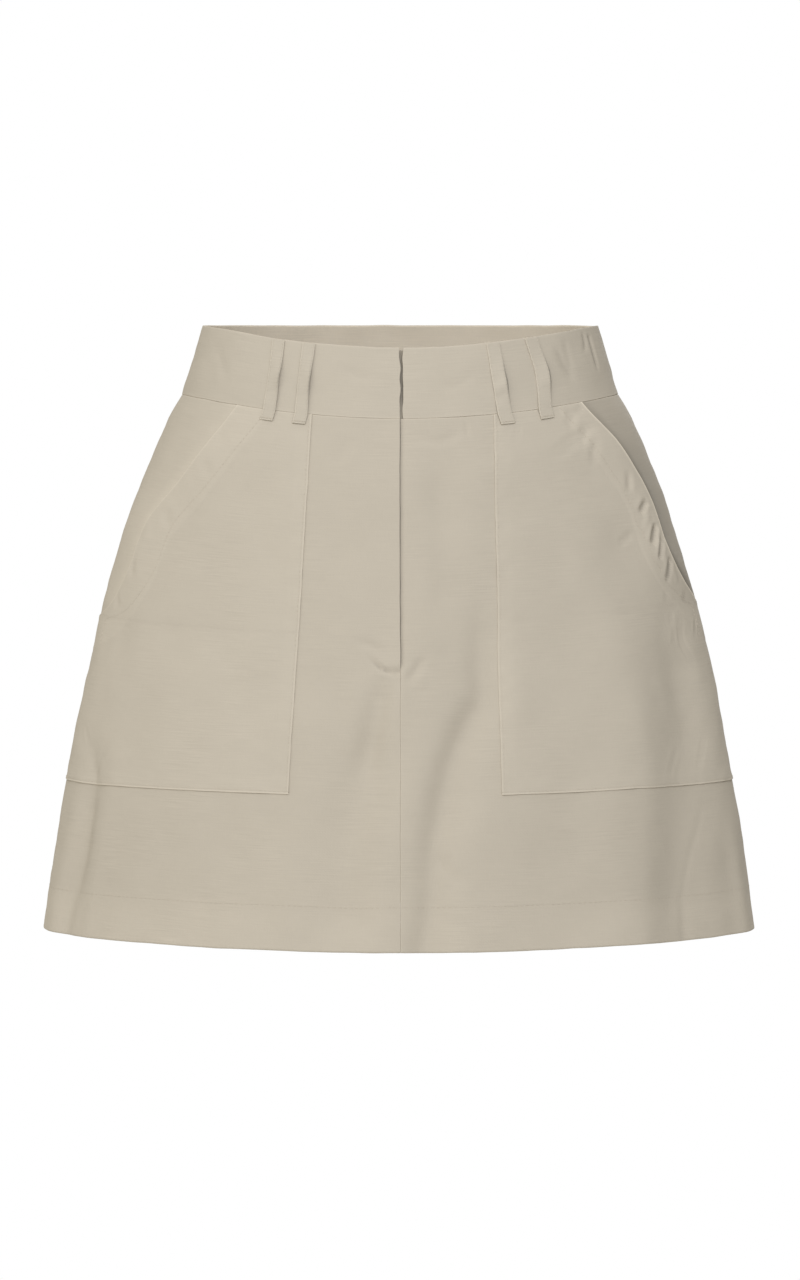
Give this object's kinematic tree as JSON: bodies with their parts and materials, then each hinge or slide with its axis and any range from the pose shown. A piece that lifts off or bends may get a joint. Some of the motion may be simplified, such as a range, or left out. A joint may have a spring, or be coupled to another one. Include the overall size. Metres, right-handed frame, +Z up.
{
  "type": "a-line skort",
  "caption": "Short A-line skirt with plain inner shorts, a contoured waistband, belt loops, a front fly and large patch pockets, filled out as if worn.",
  "frame": {"origin": "middle of the waist, level with the side ends of the seam that joins the waistband to the skirt, where the wearer's waist and hips hold the garment up", "axes": "+Z up, front towards -Y, wearer's left towards +X"},
  "size_m": [0.471, 0.2963, 0.3998],
  "materials": {
    "skirt_cloth": "matt plain weave with faint slubs",
    "pocket_cloth": "matt plain weave with faint slubs",
    "waistband_cloth": "matt plain weave, doubled and pressed",
    "loop_cloth": "matt plain weave, folded and stitched",
    "underlap_cloth": "matt plain weave",
    "shorts_cloth": "matt plain weave, lighter cloth"
  },
  "bodies": {
    "root": {"front_right": "skirt_cloth", "front_left": "skirt_cloth", "back": "skirt_cloth", "waistband_front_right": "waistband_cloth", "waistband_front_left": "waistband_cloth", "waistband_back": "waistband_cloth", "pocket_right": "pocket_cloth", "pocket_left": "pocket_cloth", "belt_loop_1": "loop_cloth", "belt_loop_2": "loop_cloth", "belt_loop_3": "loop_cloth", "belt_loop_4": "loop_cloth", "belt_loop_5": "loop_cloth", "belt_loop_6": "loop_cloth", "fly_underlap": "underlap_cloth", "shorts_front_right": "shorts_cloth", "shorts_front_left": "shorts_cloth", "shorts_back_right": "shorts_cloth", "shorts_back_left": "shorts_cloth"}
  },
  "joints": []
}
